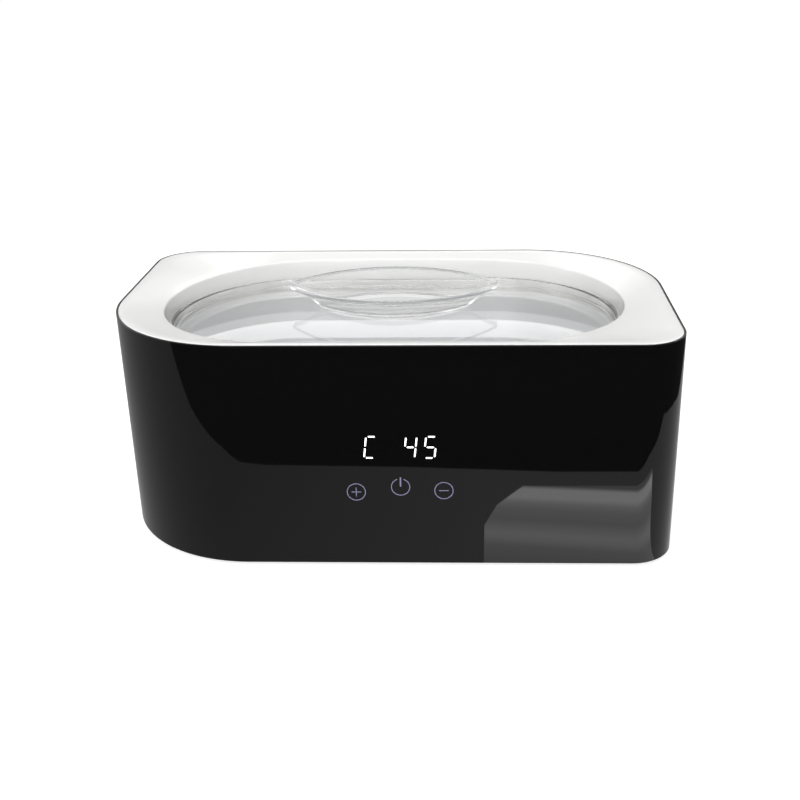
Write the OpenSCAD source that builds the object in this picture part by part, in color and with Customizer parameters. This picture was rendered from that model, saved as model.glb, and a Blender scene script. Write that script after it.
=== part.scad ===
// Wax warmer pot: a heated oval tank in a black casing, with a clear lift-off lid.
// Origin: centre of the footprint, on the surface the warmer stands on.
// +X right, -Y front (display and keys), +Z up.

/* [Body] */
// Width of the casing
body_w = 310; // [280:1:340]
// Depth of the casing
body_d = 180; // [160:1:195]
// Height of the casing above its feet
shell_h = 126; // [112:1:140]
// Radius of the front left and back right corners
big_r = 78; // [74:1:82]
// Radius of the front right and back left corners
small_r = 24; // [20:1:30]
// Wall of the casing
wall = 2.2; // [2:0.1:2.8]
// Height of the feet below the casing
foot_h = 2; // [1.5:0.5:3]

/* [Deck and well] */
// Space from the front and back of the casing to the well
well_front = 13.5; // [13:0.5:18]
// Space from the sides of the casing to the round ends of the well
well_side = 23.5; // [22:0.5:30]
// Depth of the well from the deck rim to its lower edge
well_h = 21; // [20:0.5:24]
// Wall of the well
well_t = 2.5; // [2:0.1:3]
// Fall of the deck from the rim to the middle of the well's long sides
fall_side = 2.25; // [1.5:0.25:3]
// Further fall towards the ends of the oval
fall_end = 3; // [1:0.5:3.5]
// Thickness of the deck
deck_t = 2.6; // [2:0.1:3]
// Gap round the deck inside the casing
deck_gap = 0.2; // [0.15:0.05:0.3]
// Thickness of the casing's rim outside the deck's edge
rim_t = 1; // [0.8:0.1:1.4]
// How far the rim stays below the deck's border
rim_drop = 0.5; // [0.2:0.1:1]

/* [Lid] */
// Gap between lid and well
lid_gap = 0.9; // [0.6:0.1:1.2]
// Thickness of the lid pane
pane_t = 2.5; // [2:0.1:3]
// Rise of the pane from its edge to its middle
dome = 9.5; // [7:0.5:10]
// Height of the lid's rim
rim_h = 7; // [6:0.5:9]
// Half length of the handle
handle_a = 60; // [56:1:64]
// Half width of the handle
handle_b = 34; // [32:0.5:40]
// Height of the handle's rim above the deck
handle_up = 5.2; // [5:0.2:9]

/* [Tank] */
// Ledge for the lid between the well and the tank's mouth
lid_ledge = 6.5; // [6:0.5:8]
// Inward slope of the tank's wall over its depth
tank_draft = 6; // [3:0.5:8]
// Space below the tank for the heater
under_tank = 23.7; // [23:0.1:30]
// Radius between wall and floor of the tank
tank_fillet = 12; // [8:1:16]
// Sheet thickness of the tank
tank_t = 1.5; // [1.2:0.1:2]

/* [Controls] */
// Middle of the display and keys, from the centre of the body
key_x = 5.4; // [-6:0.2:8]
// Spacing of the keys
key_pitch = 23.4; // [20:0.2:26]
// Middle of the keys, below the rim of the deck
key_drop = 81.2; // [78:0.2:84]
// Middle of the display, below the rim of the deck
display_drop = 56.1; // [52:0.1:60]

/* [Hidden] */
$fn = 96;

// Colours
black_abs = "#17181b";
white_abs = "#ecebe8";
clear_pc = [0.82, 0.85, 0.87, 0.45];
bare_alu = "#b9bcbf";
steel = "#9a9da1";
silicone = "#c9c7c1";
rubber = "#26262a";
board_green = "#1f5a3a";

// Heights
deck_z = foot_h + shell_h;
well_z = deck_z - well_h;
cover_z = foot_h + 1;
cover_t = 3;
cover_top = cover_z + cover_t;

// Oval of the well, which the lid, gasket and tank share
well_r = body_d / 2 - well_front;
oval_c = body_w / 2 - well_side - well_r;

// Plan of the deck and its skirt, as insets from the casing's outline
deck_in = rim_t + deck_gap;
skirt_in = wall + deck_gap;
lap_z = deck_z - 3;
skirt_t = 1.8;
skirt_z = deck_z - 12;
ledge_w = 1.8;
ledge_t = 2;

// Gasket, flange and tank
gasket_t = 1.8;
flange_t = 1.2;
flange_r = well_r + well_t + 0.5;
flange_top = well_z - gasket_t;
flange_z = flange_top - flange_t;
tank_r = well_r - lid_ledge;
tank_floor_r = tank_r - tank_draft;
tank_out = cover_top + under_tank;
tank_h = flange_top - tank_out - tank_t;

// Lid
lid_r = well_r - lid_gap;
rim_w = 3;
pane_edge = lid_r - rim_w;
pane_top = well_z + pane_t + dome;
pane_rad = (pane_edge * pane_edge + dome * dome) / (2 * dome);
seat_top = pane_top + 0.2;
seat_in = 14.5;

// Handle: two wide arcs make its sides and a third blunts its ends
tip_cut = 2;
side_r = (pow(handle_a + tip_cut, 2) + handle_b * handle_b) / (2 * handle_b);
side_y = side_r - handle_b;
handle_top = deck_z + handle_up;
flare_r = 28;
flare_x = 8.7;
handle_t = 2.4;
handle_floor = 2.2;
lip = 0.8;
// Height of the flare's centre
flare_z = handle_top - sqrt(pow(flare_r + handle_t, 2) - pow(flare_x + lip, 2));

// Posts that carry the deck: the two big and the two small corners
big_post = [body_w / 2 - 21.1, body_d / 2 - 47];
small_post = [body_w / 2 - 17, 17 - body_d / 2];
posts = [-big_post, big_post, small_post, -small_post];
post_r = 4.5;
post_end = 30;
post_under = 3.5;
post_pilot = 16;
screw_r = 1.5;
pilot_r = 1.2;
screw_l = 12;
cover_gap = 0.3;
head_bore_r = 3.3;
head_seat = 3;

// Brackets that hold the tank up against the gasket
bracket_off = 6;
bracket_boss_r = 3.2;
bracket_x = oval_c - 15;
bracket_y = well_r + bracket_off;
bracket_end = oval_c + bracket_y;
bracket_t = 2;
bracket_w = 12;
bracket_reach = 9;
bracket_tail = 3.6;
bracket_rib = 2.4;
rib_start = 1.5;
brackets = [
  [bracket_x, bracket_y, 90], [-bracket_x, bracket_y, 90],
  [bracket_x, -bracket_y, -90], [-bracket_x, -bracket_y, -90],
  [bracket_end, 0, 0], [-bracket_end, 0, 180]
];

// Heater stack below the tank
heater_t = 1.6;
heater_r = tank_floor_r - 20;
clamp_t = 2;
clamp_r = heater_r - 4;
clamp_hole_r = 6;
clamp_hole_at = [-24, 24];
heater_z = tank_out - heater_t;
clamp_z = heater_z - clamp_t;
stud_r = 2;
stud_fit = 0.3;
stud_x = [for (k = [-1, 0, 1]) k * (oval_c - 7)];
stud_len = 8;
nut_r = 4;
nut_t = 3;
wool_t = 4;
wool_r = tank_floor_r - 8;
sleeve_t = 3.4;
sleeve_r = tank_r + tank_t + 0.3;
sleeve_z = tank_out + 20;
vent_x = [-68, -34, 0, 34, 68];
vent_y = [-36, -12, 12, 36];
vent_l = 22;
vent_w = 4;

// Cutoff, fuse and sensor on the clamp plate
cutoff_x = oval_c + 12;
cutoff_r = 7.5;
cutoff_h = 7;
cutoff_seat = 1;
cutoff_z = clamp_z - cutoff_h - cutoff_seat;
tab_w = 4;
tab_t = 0.8;
fuse_x = -oval_c - 27;
fuse_l = 20;
fuse_tail = 8;
sensor_y = 20;
sensor_l = 18;
barrel_r = 2;
barrel_z = clamp_z - barrel_r - 0.2;
clip_t = 1.4;
clip_l = 8;

// Control board behind the front wall
front_in = -body_d / 2 + wall;
board_gap = 8.2;
board_t = 1.6;
board_w = 94;
board_y = front_in + board_gap;
key_z = deck_z - key_drop;
display_z = deck_z - display_drop;
board_low = key_z - 12.8;
board_high = display_z + 18.1;
boss_r = 3;
boss_in = 4;
board_hole_r = 1.4;
thin_wall = 1;
filter_y = front_in - wall + thin_wall;
filter_t = 0.5;
display_w = 44;
display_h = 19;
key_d = 10;
control_holes = [
  for (t = [-1, 1], z = [board_low + boss_in, board_high - boss_in]) [key_x + t * (board_w / 2 - boss_in), z]
];

// Power board inside the back wall
back_in = body_d / 2 - wall;
power_w = 70;
power_h = 54;
power_left = 27 - body_w / 2;
power_low = deck_z - 32 - power_h;
power_off = 4;
power_y = back_in - power_off - board_t;
power_holes = [
  for (x = [boss_in, power_w - boss_in], z = [boss_in, power_h - boss_in]) [power_left + x, power_low + z]
];
relay_at = [9, 33];
relay_size = [19, 15, 15.5];
core_at = [3, 11];
core_w = 22;
core_d = 18;
coil_in = 4;
coil_w = 24;
coil_t = core_d - 2 * coil_in;
can_z = power_low + 20;
cans = [[32, 5, 12], [43, 4, 8.5]];
block_at = [48, 34];
block_w = 14;
block_h = 10;
block_d = 6.5;
block_x = [for (k = [1, 3]) power_left + block_at.x + k * block_w / 4];
block_low = power_low + block_at.y;
wire_y = power_y - block_d / 2;

// Mains inlet in the back wall
inlet_x = 59 - body_w / 2;
inlet_z = cover_top + 16;
inlet_w = 24;
inlet_h = 16;
inlet_depth = 20;
inlet_pitch = 6.6;
inlet_pin_r = 1.18;
inlet_screw_x = 17;
inlet_ear = 5;
pin_out = 6;
socket_r = 4.4;
socket_depth = 12;
pin_x = [for (t = [-1, 1]) inlet_x + t * inlet_pitch / 2];
ear_x = [for (t = [-1, 1]) inlet_x + t * inlet_screw_x];

// Foot places
feet_x = body_w / 2 - 43;
feet_y = body_d / 2 - 32;
foot_r = 8;
stem_r = 2.4;
snap_r = 3;
snap_h = 0.8;

// ---------------------------------------------------------------- shapes

// Plan of the casing, moved inwards by inset. Two corners are big and two small.
module plan(inset = 0) {
  w = body_w / 2 - inset;
  d = body_d / 2 - inset;
  b = big_r - inset;
  s = small_r - inset;
  polygon([
    [-w + b, -d], [w - s, -d], [w, -d + s], [w, d - b],
    [w - b, d], [-w + s, d], [-w, d - s], [-w, -d + b]
  ]);
  for (t = [1, -1]) {
    translate([t * (w - b), t * (d - b)]) circle(b);
    translate([t * (w - s), -t * (d - s)]) circle(s);
  }
}

// Upright band between two insets of the plan
module plan_ring(outer, inner, z, h) {
  translate([0, 0, z]) linear_extrude(h) difference() {
    plan(outer);
    plan(inner);
  }
}

// Sweeps a half section, drawn as [radius, height], round the long oval
module oval_sweep() {
  for (turn = [0, 180]) rotate(turn) {
    translate([oval_c, 0, 0]) rotate(-90) rotate_extrude(angle = 180) children();
    translate([oval_c, 0, 0]) rotate([90, 0, -90]) linear_extrude(2 * oval_c) children();
  }
}

// Flat oval plate of end radius r
module oval_plate(r, z, h) {
  translate([0, 0, z]) linear_extrude(h) {
    square([2 * oval_c, 2 * r], center = true);
    for (t = [-1, 1]) translate([t * oval_c, 0]) circle(r);
  }
}

// Flat band of the long oval
module oval_band(r_in, r_out, z, h) {
  oval_sweep() translate([r_in, z]) square([r_out - r_in, h]);
}

// Handle's outline moved inwards by inset
module handle_plan(inset) {
  intersection() {
    translate([0, -side_y]) circle(side_r - inset);
    translate([0, side_y]) circle(side_r - inset);
    circle(handle_a - inset);
  }
}

// Half section of a bowl with a flaring wall: solid from z0 to z1 inside the flare
module bowl_half(rim_r, circle_r, z0, z1) {
  difference() {
    translate([0, z0]) square([rim_r, z1 - z0]);
    translate([rim_r + flare_x, flare_z]) circle(circle_r, $fn = 180);
  }
}

// The part that three such bowls share: its outline is the handle's outline
module bowl_overlap(circle_r, z0, z1) {
  intersection() {
    translate([0, -side_y, 0]) rotate_extrude() bowl_half(side_r, circle_r, z0, z1);
    translate([0, side_y, 0]) rotate_extrude() bowl_half(side_r, circle_r, z0, z1);
    rotate_extrude() bowl_half(handle_a, circle_r, z0, z1);
  }
}

// Rounded slot through a level plate
module slot(length, width, h) {
  linear_extrude(h) {
    square([length - width, width], center = true);
    for (t = [-1, 1]) translate([t * (length - width) / 2, 0]) circle(width / 2, $fn = 32);
  }
}

// Cylinder along +Y from y0 to y1
module along_y(x, z, y0, y1, r) {
  translate([x, y0, z]) rotate([-90, 0, 0]) cylinder(h = y1 - y0, r = r, $fn = 48);
}

// Pan-head screw pointing up, head below z
module screw_up(x, y, z, length, head_r = 3, head_h = 2) {
  translate([x, y, z - head_h]) difference() {
    cylinder(h = head_h, r = head_r, $fn = 48);
    translate([0, 0, -0.01]) {
      translate([-head_r * 0.6, -0.35, 0]) cube([head_r * 1.2, 0.7, head_h / 2]);
      translate([-0.35, -head_r * 0.6, 0]) cube([0.7, head_r * 1.2, head_h / 2]);
    }
  }
  translate([x, y, z]) cylinder(h = length, r = pilot_r, $fn = 32);
}

// Screw along Y, head at y, dir is the way that it points
module screw_y(x, y, z, length, dir, head_r = 2.2, head_h = 1.6) {
  back = min(y - dir * head_h, y);
  difference() {
    along_y(x, z, back, back + head_h, head_r);
    translate([x - head_r * 0.6, y - dir * head_h - 0.4, z - 0.3]) cube([head_r * 1.2, 0.8, 0.6]);
  }
  along_y(x, z, min(y, y + dir * length), max(y, y + dir * length), pilot_r - 0.2);
}

function unit(v) = v / norm(v);

// Countersunk head in a wall whose outer face is at y, grown by extra
sunk_r = 2.9;
sunk_h = 1.4;
module sunk_head(x, y, z, extra = 0) {
  translate([x, y, z]) rotate([90, 0, 0])
    cylinder(h = sunk_h + extra, r1 = sunk_r + extra, r2 = pilot_r, $fn = 48);
}

// Bent wire through a list of points: rings of eight sides, square to the path
function path_dir(path, i) =
  let (
    n = len(path) - 1,
    back = i > 0 ? path[i] - path[i - 1] : path[1] - path[0],
    ahead = i < n ? path[i + 1] - path[i] : path[n] - path[n - 1],
    sum = back / norm(back) + ahead / norm(ahead)
  )
  sum / norm(sum);
function next_side(d, side) = unit(side - (side * d) * d);
function path_sides(path, side, i = 0) =
  let (s = next_side(path_dir(path, i), side))
  i == len(path) - 1 ? [s] : concat([s], path_sides(path, s, i + 1));
module wire(path, r) {
  n = len(path);
  sides = path_sides(path, unit([0.6, 0.5, 0.3]));
  ring = [
    for (i = [0 : n - 1], k = [0 : 7])
      let (d = path_dir(path, i), u = sides[i], v = cross(d, u))
      path[i] + r * (cos(45 * k) * u + sin(45 * k) * v)
  ];
  walls = [
    for (i = [0 : n - 2], k = [0 : 7])
      let (a = 8 * i + k, b = 8 * i + (k + 1) % 8)
      each [[a, a + 8, b + 8], [a, b + 8, b]]
  ];
  ends = [[for (k = [0 : 7]) k], [for (k = [7 : -1 : 0]) 8 * (n - 1) + k]];
  polyhedron(points = ring, faces = concat(walls, ends), convexity = 6);
}

// ---------------------------------------------------------------- deck surface

// Where a ray from p along u leaves the plan moved inwards by inset
function leave_box(p, u, w, d) = min(
  abs(u.x) < 0.001 ? 1000 : (sign(u.x) * w - p.x) / u.x,
  abs(u.y) < 0.001 ? 1000 : (sign(u.y) * d - p.y) / u.y);
function leave_circle(p, u, c, r) =
  let (q = p - c, along = q * u) sqrt(along * along - q * q + r * r) - along;
function leave_plan(p, u, inset) =
  let (
    w = body_w / 2 - inset,
    d = body_d / 2 - inset,
    hit = p + leave_box(p, u, w, d) * u,
    side = [sign(hit.x), sign(hit.y)],
    r = (side.x * side.y > 0 ? big_r : small_r) - inset,
    c = [side.x * (w - r), side.y * (d - r)],
    in_corner = side.x * (hit.x - c.x) > 0 && side.y * (hit.y - c.y) > 0
  )
  in_corner ? p + leave_circle(p, u, c, r) * u : hit;

// Stations round the oval: [centre of the arc or side, outward direction]
end_steps = 28;
side_steps = 10;
stations = [
  for (t = [1, -1]) each [
    for (i = [0 : end_steps - 1])
      let (a = -90 + 180 * i / end_steps) [[t * oval_c, 0], t * [cos(a), sin(a)]],
    for (i = [0 : side_steps - 1])
      [[t * oval_c * (1 - 2 * i / side_steps), 0], [0, t]]
  ]
];

// Height of the deck at the edge of the well
function edge_z(x) = deck_z - fall_side - fall_end * pow(x / (oval_c + well_r), 2);
flat_border = 3.2;

// Rings of the sloping surface, from beyond the rim to inside the well
function ring_point(s, k) =
  let (
    p = s[0],
    u = s[1],
    rim = leave_plan(p, u, deck_in + flat_border),
    edge = p + well_r * u,
    z = edge_z(edge.x),
    grade = (deck_z - z) / norm(rim - edge)
  )
  k == 0 ? [each (rim + 8 * u), deck_z] :
  k == 1 ? [each rim, deck_z] :
  [each (p + (well_r - 4) * u), z - 4 * grade];

// Solid between the sloping surface moved by dz and the level z_far
module slope_solid(dz, z_far) {
  n = len(stations);
  near_rings = [for (k = [0 : 2], s = stations) ring_point(s, k) + [0, 0, dz]];
  far_rings = [for (k = [2, 0], s = stations) let (q = ring_point(s, k)) [q.x, q.y, z_far]];
  rings = 5;
  up = z_far > deck_z;
  faces = [
    for (k = [0 : rings - 1], i = [0 : n - 1])
      let (
        a = k * n + i,
        b = k * n + (i + 1) % n,
        c = ((k + 1) % rings) * n + (i + 1) % n,
        e = ((k + 1) % rings) * n + i
      )
      each (up ? [[a, b, c], [a, c, e]] : [[a, c, b], [a, e, c]])
  ];
  polyhedron(points = concat(near_rings, far_rings), faces = faces, convexity = 6);
}

// ---------------------------------------------------------------- casing

module outer_casing() {
  color(black_abs) difference() {
    union() {
      plan_ring(0, wall, foot_h, shell_h);
      // Ledge under the deck's skirt and ledge over the base cover
      plan_ring(wall / 2, wall + ledge_w, skirt_z - ledge_t, ledge_t);
      plan_ring(wall / 2, wall + ledge_w, cover_top, ledge_t);
      // Bosses for the control board
      for (h = control_holes) along_y(h.x, h.y, front_in - wall / 2, board_y, boss_r);
      // Bosses for the power board
      for (h = power_holes) along_y(h.x, h.y, back_in - power_off, back_in + wall / 2, boss_r);
    }
    // Rim, thinned to take the deck's edge
    plan_ring(rim_t, wall + 1, lap_z, shell_h);
    plan_ring(-1, wall + 1, deck_z - rim_drop, shell_h);
    // Thinned window behind which the display sits
    translate([key_x - display_w / 2 - 1, filter_y, display_z - display_h / 2 - 1])
      cube([display_w + 2, wall, display_h + 2]);
    for (h = control_holes) along_y(h.x, h.y, front_in + 1, board_y + 1, pilot_r);
    for (h = power_holes) along_y(h.x, h.y, back_in - power_off - 1, back_in - 0.4, pilot_r);
    // Mains inlet and its two screws
    translate([inlet_x - inlet_w / 2, back_in - 1, inlet_z - inlet_h / 2]) cube([inlet_w, 2 * wall, inlet_h]);
    for (x = ear_x) {
      along_y(x, inlet_z, back_in - 1, back_in + 2 * wall, screw_r);
      sunk_head(x, body_d / 2, inlet_z, 0.1);
    }
  }
}

// The deck's plan from z up to its rim, with the well cut out
module deck_layer(inset, z) {
  translate([0, 0, z]) linear_extrude(deck_z - z) difference() {
    plan(inset);
    square([2 * oval_c, 2 * well_r], center = true);
    for (t = [-1, 1]) translate([t * oval_c, 0]) circle(well_r);
  }
}

module top_deck() {
  color(white_abs) difference() {
    union() {
      difference() {
        union() {
          deck_layer(skirt_in, skirt_z + 2);
          deck_layer(deck_in, lap_z);
          oval_band(well_r, well_r + well_t, well_z, skirt_z + 4 - well_z);
        }
        slope_solid(0, deck_z + 10);
        intersection() {
          slope_solid(-deck_t, well_z - 10);
          difference() {
            translate([0, 0, well_z - 5]) linear_extrude(deck_z) plan(skirt_in + skirt_t);
            oval_plate(well_r + well_t, well_z - 6, well_h + 10);
          }
        }
      }
      plan_ring(skirt_in, skirt_in + skirt_t, skirt_z, 4);
      // Corner posts down to the base cover
      for (p = posts) translate([p.x, p.y, post_end])
        cylinder(h = deck_z - post_under - post_end, r = post_r);
      // Bosses for the tank brackets, each with a rib to the wall of the well
      for (b = brackets) translate([b.x, b.y, 0]) rotate(b.z) {
        top = edge_z(b.x) - 0.8;
        translate([0, 0, flange_top]) cylinder(h = top - flange_top, r = bracket_boss_r);
        translate([rib_start - bracket_off, -bracket_rib / 2, well_z])
          cube([bracket_off - rib_start, bracket_rib, top - well_z]);
      }
    }
    for (p = posts) translate([p.x, p.y, post_end - 1]) cylinder(h = post_pilot + 1, r = pilot_r, $fn = 32);
    for (b = brackets) translate([b.x, b.y, flange_top - 1]) cylinder(h = screw_l, r = pilot_r, $fn = 32);
  }
}

// ---------------------------------------------------------------- base

module foot_at(sx, sy) {
  color(rubber) translate([sx * feet_x, sy * feet_y, 0]) {
    cylinder(h = cover_z, r = foot_r);
    cylinder(h = cover_top + snap_h, r = stem_r);
    translate([0, 0, cover_top]) cylinder(h = snap_h, r = snap_r);
  }
}

module foot_front_left() foot_at(-1, -1);
module foot_front_right() foot_at(1, -1);
module foot_back_left() foot_at(-1, 1);
module foot_back_right() foot_at(1, 1);

module base_cover() {
  color("#1c1d20") difference() {
    union() {
      translate([0, 0, cover_z]) linear_extrude(cover_t) plan(wall + cover_gap);
      for (p = posts) translate([p.x, p.y, cover_z]) cylinder(h = post_end - cover_z, r = post_r + 0.7);
    }
    for (p = posts) translate([p.x, p.y, cover_z - 1]) {
      cylinder(h = post_end, r = screw_r + 0.1);
      cylinder(h = post_end - cover_z - head_seat, r = head_bore_r);
    }
    for (sx = [-1, 1], sy = [-1, 1]) translate([sx * feet_x, sy * feet_y, cover_z - 1])
      cylinder(h = cover_t + 2, r = stem_r + 0.1);
    for (x = vent_x, y = vent_y) translate([x, y, cover_z - 1]) slot(vent_l, vent_w, cover_t + 2);
  }
}

module base_screws() {
  color(steel) for (p = posts) screw_up(p.x, p.y, post_end - head_seat - 1, screw_l);
}

// ---------------------------------------------------------------- tank

// Half section of the tank grown outwards by t
module tank_half(t) {
  r = tank_fillet + t;
  floor_z = flange_top - tank_h - t;
  difference() {
    polygon([
      [0, floor_z], [tank_floor_r + t, floor_z],
      [tank_r + t, flange_top], [0, flange_top]
    ]);
    translate([tank_floor_r + t - r, floor_z]) difference() {
      translate([0, -1]) square([r + 2, r + 1]);
      translate([0, r]) circle(r);
      translate([-r, r - 0.01]) square([3 * r, r]);
    }
  }
}

// Places its children under the tank's three studs
module on_studs(z) {
  for (x = stud_x) translate([x, 0, z]) children();
}

module wax_tank() {
  color(bare_alu) {
    oval_sweep() difference() {
      union() {
        tank_half(tank_t);
        translate([tank_r - 1, flange_z]) square([flange_r - tank_r + 1, flange_t]);
      }
      translate([0, 0.005]) tank_half(0);
      translate([-1, flange_top - 0.001]) square([tank_r + 1, 5]);
    }
    // Studs that carry the heater clamp plate
    on_studs(tank_out - stud_len) cylinder(h = stud_len + 0.5, r = stud_r, $fn = 32);
  }
}

module tank_gasket() {
  color(silicone) oval_band(pane_edge + 0.2, well_r + well_t, flange_top, gasket_t);
}

module tank_brackets() {
  // The heel stands clear of the flange's edge
  heel = flange_r + 0.4 - well_r - bracket_off;
  color(steel) for (b = brackets) translate([b.x, b.y, flange_z - bracket_t]) rotate(b.z) difference() {
    union() {
      translate([-bracket_reach, -bracket_w / 2, 0])
        cube([bracket_reach + bracket_tail, bracket_w, bracket_t]);
      translate([heel, -bracket_w / 2, 0]) cube([bracket_tail - heel, bracket_w, bracket_t + flange_t]);
    }
    translate([0, 0, -1]) cylinder(h = 6, r = screw_r, $fn = 32);
  }
}

module bracket_screws() {
  color(steel) for (b = brackets) screw_up(b.x, b.y, flange_z - bracket_t, screw_l, 2.6, 1.8);
}

module heater_pad() {
  color("#8f3b2c") difference() {
    oval_plate(heater_r, heater_z, heater_t);
    on_studs(heater_z - 1) cylinder(h = heater_t + 2, r = stud_r + stud_fit, $fn = 32);
  }
}

module heater_clamp_plate() {
  color(steel) difference() {
    union() {
      oval_plate(clamp_r, clamp_z, clamp_t);
      // Seat pressed down for the thermal cutoff
      translate([cutoff_x - 7, -8, clamp_z - cutoff_seat]) cube([14, 16, cutoff_seat + 0.5]);
    }
    on_studs(clamp_z - 1) cylinder(h = clamp_t + 2, r = stud_r + stud_fit, $fn = 32);
    for (y = clamp_hole_at, x = clamp_hole_at) translate([x, y, clamp_z - 1])
      cylinder(h = clamp_t + 2, r = clamp_hole_r);
  }
}

module clamp_nuts() {
  color(steel) on_studs(clamp_z - nut_t) difference() {
    cylinder(h = nut_t, r = nut_r, $fn = 6);
    translate([0, 0, -1]) cylinder(h = nut_t + 2, r = stud_r + 0.1, $fn = 32);
  }
}

module insulation_sleeve() {
  color("#d9d3bf") oval_band(sleeve_r, sleeve_r + sleeve_t, sleeve_z, flange_z - bracket_t - 3 - sleeve_z);
}

module insulation_pad() {
  color("#d9d3bf") difference() {
    oval_plate(wool_r, cover_top, wool_t);
    for (x = vent_x, y = vent_y) translate([x, y, cover_top - 1]) slot(vent_l + 2, vent_w + 2, wool_t + 2);
  }
}

module thermal_cutoff() {
  color("#e5e2da") translate([cutoff_x, 0, cutoff_z]) {
    cylinder(h = cutoff_h, r = cutoff_r);
    for (x = [-1.5 * tab_w, 0.5 * tab_w]) translate([x, -tab_t / 2, -tab_w])
      cube([tab_w, tab_t, tab_w + 0.5]);
  }
}

module cutoff_strap() {
  strap_r = cutoff_r + 1.5;
  color(steel) translate([cutoff_x, 0, cutoff_z]) difference() {
    union() {
      cylinder(h = 2, r = strap_r);
      for (t = [-1, 1]) translate([t * strap_r - 1, -3, 0]) cube([2, 6, cutoff_h]);
    }
    translate([0, 0, -1]) cylinder(h = cutoff_h + 3, r = cutoff_r + 0.1);
  }
}

module thermal_fuse() {
  color("#c9a468") translate([fuse_x, -fuse_l / 2, barrel_z]) rotate([-90, 0, 0]) {
    cylinder(h = fuse_l, r = barrel_r, $fn = 48);
    translate([0, 0, -fuse_tail]) cylinder(h = fuse_l + 2 * fuse_tail, r = 0.5, $fn = 24);
  }
}

// Pressed clip that holds a barrel up to the plate, lying along X
module barrel_clip() {
  groove = barrel_r + 0.05;
  w = 2 * (barrel_r + clip_t);
  h = clamp_z - barrel_z + barrel_r + 1;
  difference() {
    translate([0, -w / 2, clamp_z - h]) cube([clip_l, w, h]);
    translate([-1, 0, barrel_z]) rotate([0, 90, 0]) cylinder(h = clip_l + 2, r = groove, $fn = 48);
    translate([-1, -groove, barrel_z]) cube([clip_l + 2, 2 * groove, h]);
  }
}

module fuse_clip() {
  color(steel) translate([fuse_x, -clip_l / 2, 0]) rotate(90) barrel_clip();
}

module temperature_sensor() {
  color("#c7c9cb") translate([0, sensor_y, barrel_z]) rotate([0, 90, 0]) {
    cylinder(h = sensor_l, r = barrel_r, $fn = 48);
    translate([0, 0, sensor_l]) sphere(barrel_r, $fn = 48);
  }
}

module sensor_clip() {
  color(steel) translate([(sensor_l - clip_l) / 2, sensor_y, 0]) barrel_clip();
}

// ---------------------------------------------------------------- controls

module control_board() {
  color(board_green) difference() {
    translate([key_x - board_w / 2, board_y, board_low]) cube([board_w, board_t, board_high - board_low]);
    for (h = control_holes) along_y(h.x, h.y, board_y - 1, board_y + 3, board_hole_r);
  }
}

module display_module() {
  color("#2a2b2e") translate([key_x - display_w / 2, filter_y + filter_t, display_z - display_h / 2])
    cube([display_w, board_y - filter_y - filter_t, display_h]);
}

module display_filter() {
  color("#101114") translate([key_x - display_w / 2, filter_y, display_z - display_h / 2])
    cube([display_w, filter_t, display_h]);
}

module touch_pads() {
  color("#4a4b50") for (k = [-1, 0, 1]) along_y(key_x + k * key_pitch, key_z, front_in, board_y, key_d / 2);
}

module board_screws() {
  color(steel) for (h = control_holes) screw_y(h.x, board_y + board_t, h.y, 5.5, -1);
}

module power_board() {
  color(board_green) difference() {
    translate([power_left, power_y, power_low]) cube([power_w, board_t, power_h]);
    for (h = power_holes) along_y(h.x, h.y, power_y - 1, power_y + 3, board_hole_r);
  }
}

module power_screws() {
  color(steel) for (h = power_holes) screw_y(h.x, power_y, h.y, 4.8, 1);
}

// Place on the power board: from its lower left corner, standing out by depth
module on_power(at, depth) {
  translate([power_left + at.x, power_y - depth, power_low + at.y]) children();
}

module relay() {
  color("#2458a8") on_power(relay_at, relay_size.y) cube(relay_size);
}

module transformer() {
  color("#c9a23a") on_power(core_at, core_d) {
    cube([core_w, core_d, core_d]);
    translate([(core_w - coil_w) / 2, coil_in, coil_in]) cube([coil_w, coil_t, coil_t]);
  }
}

module capacitors() {
  color("#3a3d44") for (c = cans) along_y(power_left + c[0], can_z, power_y - c[2], power_y, c[1]);
}

module terminal_block() {
  color("#3f7d4a") difference() {
    on_power(block_at, block_d) cube([block_w, block_d, block_h]);
    // Screw recesses in front, wire holes from below
    for (x = block_x) {
      along_y(x, block_low + block_h / 2, power_y - block_d - 1, power_y - block_d + 1.5, 2);
      translate([x, wire_y, block_low - 1]) cylinder(h = 6, r = 1.4, $fn = 32);
    }
  }
}

module mains_inlet() {
  color("#1a1b1e") difference() {
    union() {
      translate([inlet_x - inlet_w / 2, back_in - inlet_depth, inlet_z - inlet_h / 2])
        cube([inlet_w, inlet_depth + wall, inlet_h]);
      translate([inlet_x - inlet_screw_x - inlet_ear, back_in - 2, inlet_z - inlet_h / 2])
        cube([2 * (inlet_screw_x + inlet_ear), 2, inlet_h]);
    }
    // Figure-of-eight socket
    for (x = pin_x) {
      along_y(x, inlet_z, back_in - socket_depth, back_in + wall + 1, socket_r);
      along_y(x, inlet_z, back_in - inlet_depth - 1, back_in, inlet_pin_r);
    }
    for (x = ear_x) along_y(x, inlet_z, back_in - 3, back_in + 1, pilot_r);
  }
}

module inlet_pins() {
  color("#c8a850") for (x = pin_x)
    along_y(x, inlet_z, back_in - inlet_depth - pin_out, back_in - 1, inlet_pin_r);
}

module inlet_screws() {
  color(steel) for (x = ear_x) {
    sunk_head(x, body_d / 2, inlet_z);
    along_y(x, inlet_z, back_in - 3, back_in + wall - 1, pilot_r);
  }
}

// ---------------------------------------------------------------- leads

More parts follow.
